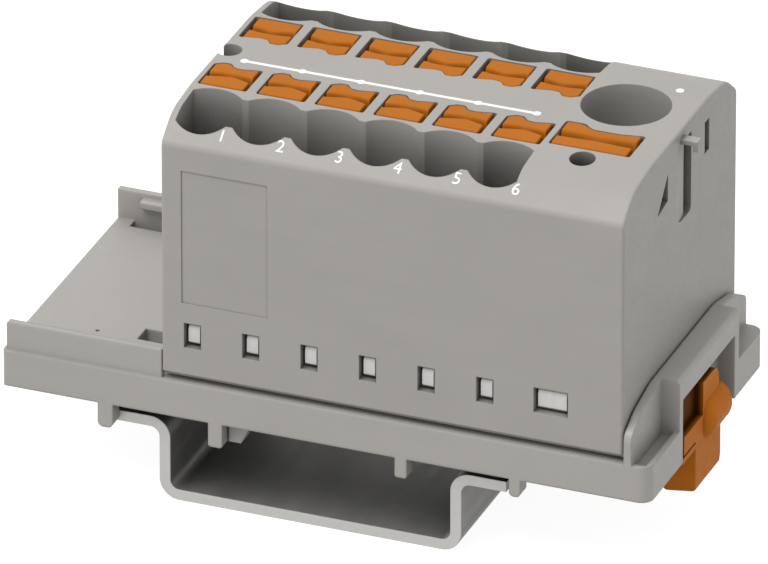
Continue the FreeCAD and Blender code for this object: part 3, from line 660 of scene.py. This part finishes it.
def button_head(name, shape, centre, half_length, foot, groove):
    """A button's sculpted head, open groove and round edges on top and walls down to its foot.

    Lengths along X and Y are from the centre, a Vector at the height of the head's top. The groove
    is the scale and the bend of this head's groove against the settings.
    """
    look = settings().buttons
    inner_corners = inner_side(shape, half_length, look)
    outer, smoothing = shape["outer"] * MM, shape["rounding"] * MM
    left, right = inner_corners[0][0], inner_corners[-1][0]
    columns, rows = shape["cells"]
    pick_none()
    bpy.ops.mesh.primitive_grid_add(x_subdivisions=columns, y_subdivisions=rows, size=1)
    piece = bpy.context.active_object
    piece.name = name
    for vertex in piece.data.vertices:
        along = left + (right - left) * spread_out(vertex.co.x + 0.5)
        tuck = edge_fall(min(along - left, right - along), look.corner)
        near, far = outer + tuck, rounded_line(inner_corners, along, smoothing) - tuck
        line, width, depth = groove_at(along, min(-left, right), look, *groove)
        across = row_place(vertex.co.y + 0.5, near, far, line, width)
        side = min(along - left, right - along, across - near, far - across)
        aside = min(abs(across - line) / width, 1)
        fall = depth * (1 + math.cos(math.pi * aside)) / 2 + edge_fall(side, look.edge)
        vertex.co = centre + Vector((along, across, -fall))
    bpy.ops.object.mode_set(mode="EDIT")
    bpy.ops.mesh.select_mode(type="EDGE")
    bpy.ops.mesh.select_all(action="DESELECT")
    bpy.ops.mesh.select_non_manifold()
    bpy.ops.mesh.extrude_region_move()
    bpy.ops.transform.resize(value=(1, 1, 0), center_override=(0, 0, foot))
    bpy.ops.mesh.edge_face_add()
    bpy.ops.mesh.select_all(action="SELECT")
    bpy.ops.mesh.normals_make_consistent(inside=False)
    bpy.ops.object.mode_set(mode="OBJECT")
    return piece


def button_stem(node, name, foot):
    """The part of a CAD button under its head."""
    piece = copy_of(node, name)
    bpy.ops.object.mode_set(mode="EDIT")
    bpy.ops.mesh.select_all(action="SELECT")
    bpy.ops.mesh.bisect(plane_co=(0, 0, foot), plane_no=(0, 0, 1), clear_outer=True, use_fill=True)
    bpy.ops.object.mode_set(mode="OBJECT")
    return piece


def whole_button(node, name, shape, centre, groove=(1.0, 1.0)):
    """Head and stem of a button, joined and shaded."""
    low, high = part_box(node)
    foot = centre.z - settings().buttons.head_height
    stem = button_stem(node, name + "_stem", foot + STEM_OVERLAP)
    head = button_head(name, shape, centre, (high.x - low.x) / 2, foot, groove)
    pick(head)
    stem.select_set(True)
    bpy.ops.object.join()
    bpy.ops.object.shade_smooth_by_angle(angle=BUTTON_EDGE_ANGLE)
    return head


class BLOCK_OT_outlet_buttons(bpy.types.Operator):
    """Sculpt one outlet button and set its copies in both rows"""
    bl_idname = "distribution_block.outlet_buttons"
    bl_label = "Outlet Buttons"

    def execute(self, context):
        low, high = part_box(FRONT_BUTTONS[0])
        top = high.z + settings().buttons.lift
        centre = Vector(((low.x + high.x) / 2, low.y + OUTLET_CENTRE, top))
        first = whole_button(FRONT_BUTTONS[0], "outlet_key", OUTLET_HEAD, centre)
        for node in FRONT_BUTTONS + BACK_BUTTONS:
            name = node.replace("button", "key")
            piece = bpy.data.objects.new(name, first.data.copy())
            context.scene.collection.objects.link(piece)
            turn = Matrix.Rotation(math.pi if node in BACK_BUTTONS else 0, 4, "Z")
            column = Matrix.Translation((middle(node).x, 0, 0))
            piece.data.transform(column @ turn @ Matrix.Translation((-centre.x, 0, 0)))
            dress(piece, finish("orange_moulding"), body_of(node), "orange_plastic", node)
        bpy.data.objects.remove(first)
        return {"FINISHED"}


class BLOCK_OT_supply_button(bpy.types.Operator):
    """Sculpt the wide button of the supply entry"""
    bl_idname = "distribution_block.supply_button"
    bl_label = "Supply Button"

    def execute(self, context):
        look = settings().buttons
        low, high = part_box("supply_button")
        centre = Vector(((low.x + high.x) / 2, (low.y + high.y) / 2, high.z + look.lift))
        groove = (look.supply_scale, look.supply_bend)
        piece = whole_button("supply_button", "supply_key", SUPPLY_HEAD, centre, groove)
        dress(piece, finish("orange_moulding"), "supply_key", "orange_plastic", "supply_button")
        return {"FINISHED"}


# Thicknesses of print that the line's block and the dots are high, half of it over the plastic
LINE_BLOCK, DOT_BLOCK = 2, 2.6
# A font's size against the height of its digits
FONT_SIZE = 1.4


class BLOCK_OT_print(bpy.types.Operator):
    """Print the white line with its dots and the small numbers"""
    bl_idname = "distribution_block.print"
    bl_label = "Print"

    def execute(self, context):
        look = settings().marks
        parts = [self.line(look)]
        parts += [self.dot(x, look.line_y, look) for x in COLUMNS]
        parts.append(self.dot(*look.supply_dot, look))
        parts += [self.number(i, x, look) for i, x in enumerate(COLUMNS)]
        piece = pick(parts[0])
        for part in parts:
            part.select_set(True)
        bpy.ops.object.join()
        piece.name = "white_print"
        dress(piece, finish("white_print"), "block", "grey_plastic")
        return {"FINISHED"}

    def line(self, look):
        """The line from the first column to the last."""
        start, stop = COLUMNS[0], COLUMNS[-1]
        pick_none()
        bpy.ops.mesh.primitive_cube_add(size=1)
        piece = bpy.context.active_object
        size = Matrix.Diagonal((stop - start, look.line_width, look.thickness * LINE_BLOCK, 1))
        piece.data.transform(Matrix.Translation(((start + stop) / 2, look.line_y, TOP_Z)) @ size)
        return piece

    def dot(self, x, y, look):
        """A round dot on the roof."""
        pick_none()
        bpy.ops.mesh.primitive_cylinder_add(vertices=32, radius=look.dot_radius,
                                            depth=look.thickness * DOT_BLOCK)
        piece = bpy.context.active_object
        piece.data.transform(Matrix.Translation((x, y, TOP_Z)))
        return piece

    def number(self, index, column, look):
        """A column's number, laid on the sloping edge of the roof."""
        pick_none()
        bpy.ops.object.text_add()
        text = bpy.context.active_object
        text.data.body = str(index + 1)
        text.data.size = look.digit_height * FONT_SIZE
        text.data.extrude = look.thickness
        text.data.align_x, text.data.align_y = "CENTER", "CENTER"
        bpy.ops.object.convert(target="MESH")
        piece = bpy.context.active_object
        place = Matrix.Translation(Vector((column, 0, 0)) + Vector(look.digit_place))
        piece.data.transform(place @ Matrix.Rotation(look.digit_slope, 4, "X"))
        piece.matrix_world.identity()
        return piece


# Stage

# The camera's picture width in millimetres, and how near and far it sees, in metres
SENSOR_WIDTH = 36
CLIP_NEAR, CLIP_FAR = 0.05, 20


def background_rays(tree):
    """1 for the camera's rays and for those that a piece mirrors or bends, else 0."""
    path = tree.nodes.new("ShaderNodeLightPath")
    seen = path.outputs["Is Camera Ray"]
    for kind in ("Is Glossy Ray", "Is Transmission Ray"):
        either = tree.nodes.new("ShaderNodeMath")
        either.operation = "MAXIMUM"
        tree.links.new(seen, either.inputs[0])
        tree.links.new(path.outputs[kind], either.inputs[1])
        seen = either.outputs[0]
    return seen


def studio_white(name, look):
    """Matt white floor, seen and mirrored as bright paper with a faint shadow."""
    s = Shader(name)
    speckle = s.noise(0.05, detail=2)
    s.link(s.tinted((look.floor,) * 3, 0.995, 1.005, s.spread(speckle, 0, 1)),
           s.surface.inputs["Base Color"])
    s.set(rough=0.9, gloss=0.0)
    glow = s.add("ShaderNodeEmission", Strength=look.paper_glow)
    shadow = s.add("ShaderNodeBsdfDiffuse", Color=(*[look.paper_shadow] * 3, 1))
    paper = s.add("ShaderNodeAddShader")
    s.link(glow.outputs[0], paper.inputs[0])
    s.link(shadow.outputs[0], paper.inputs[1])
    either = s.add("ShaderNodeMixShader")
    s.link(background_rays(s.tree), either.inputs[0])
    s.link(s.surface.outputs[0], either.inputs[1])
    s.link(paper.outputs[0], either.inputs[2])
    s.link(either.outputs[0], s.tree.nodes["Material Output"].inputs["Surface"])
    return s.material


class BLOCK_OT_stage(bpy.types.Operator):
    """Set the floor, the lamp, the sky and the camera"""
    bl_idname = "distribution_block.stage"
    bl_label = "Studio"

    def execute(self, context):
        look = settings().stage
        self.lay_floor(look)
        self.light_sky(context.scene, look)
        self.hang_lamp(look)
        self.set_camera(context.scene, look)
        return {"FINISHED"}

    def lay_floor(self, look):
        """The square floor. The floor, which stays out of the export."""
        pick_none()
        bpy.ops.mesh.primitive_plane_add(size=look.floor_size)
        floor = bpy.context.active_object
        floor.name = "studio_floor"
        floor.data.transform(floor.matrix_world)
        floor.matrix_world.identity()
        floor.data.materials.append(studio_white("studio_floor", look))

    def light_sky(self, scene, look):
        """An even sky, seen and mirrored as plain white."""
        world = bpy.data.worlds.new("studio_sky")
        world.use_nodes = True
        scene.world = world
        tree = world.node_tree
        background = tree.nodes["Background"]
        strength = tree.nodes.new("ShaderNodeMapRange")
        strength.inputs["To Min"].default_value = look.sky
        strength.inputs["To Max"].default_value = 1.0
        tree.links.new(background_rays(tree), strength.inputs["Value"])
        tree.links.new(strength.outputs["Result"], background.inputs["Strength"])
        background.inputs["Color"].default_value = (1, 1, 1, 1)

    def hang_lamp(self, look):
        """The square lamp over the left shoulder of the camera."""
        pick_none()
        bpy.ops.object.light_add(type="AREA", location=look.key_place)
        lamp = bpy.context.active_object
        lamp.name = "key_lamp"
        lamp.data.size = look.key_size
        lamp.data.energy = look.key_power
        aim = Vector((0, 0, look.key_aim)) - lamp.location
        lamp.rotation_euler = aim.to_track_quat("-Z", "Y").to_euler()

    def set_camera(self, scene, look):
        """The camera, a long lens that looks down on the block's front and supply end."""
        pick_none()
        target = Vector(look.target)
        back = Vector((math.sin(look.azimuth) * math.cos(look.elevation),
                       -math.cos(look.azimuth) * math.cos(look.elevation), math.sin(look.elevation)))
        bpy.ops.object.camera_add(location=target + back * look.distance)
        camera = bpy.context.active_object
        camera.rotation_euler = (-back).to_track_quat("-Z", "Y").to_euler()
        camera.data.lens = look.lens
        camera.data.sensor_width = SENSOR_WIDTH
        camera.data.clip_start, camera.data.clip_end = CLIP_NEAR, CLIP_FAR
        scene.camera = camera
        scene.view_settings.view_transform = "Standard"


class BLOCK_PT_panel(bpy.types.Panel):
    """Lists the block's pieces and its studio"""
    bl_idname = "BLOCK_PT_panel"
    bl_label = "Distribution Block"
    bl_space_type = "VIEW_3D"
    bl_region_type = "UI"
    bl_category = "Distribution Block"

    def draw(self, context):
        for operator in OPERATORS:
            self.layout.operator(operator.bl_idname)


GROUPS = (EdgeSettings, ButtonSettings, PrintSettings, FinishSettings, StageSettings, BlockSettings)
OPERATORS = (BLOCK_OT_stage, BLOCK_OT_housing, BLOCK_OT_adapter, BLOCK_OT_rail, BLOCK_OT_latch,
             BLOCK_OT_contacts, BLOCK_OT_outlet_buttons, BLOCK_OT_supply_button, BLOCK_OT_print)
CLASSES = GROUPS + OPERATORS + (BLOCK_PT_panel,)


def register():
    for cls in CLASSES:
        bpy.utils.register_class(cls)
    bpy.types.Scene.distribution_block = bpy.props.PointerProperty(type=BlockSettings)


def unregister():
    del bpy.types.Scene.distribution_block
    for cls in reversed(CLASSES):
        bpy.utils.unregister_class(cls)


def main():
    register()
    for operator in OPERATORS:
        group, name = operator.bl_idname.split(".")
        getattr(getattr(bpy.ops, group), name)()


if __name__ == "__main__":
    main()
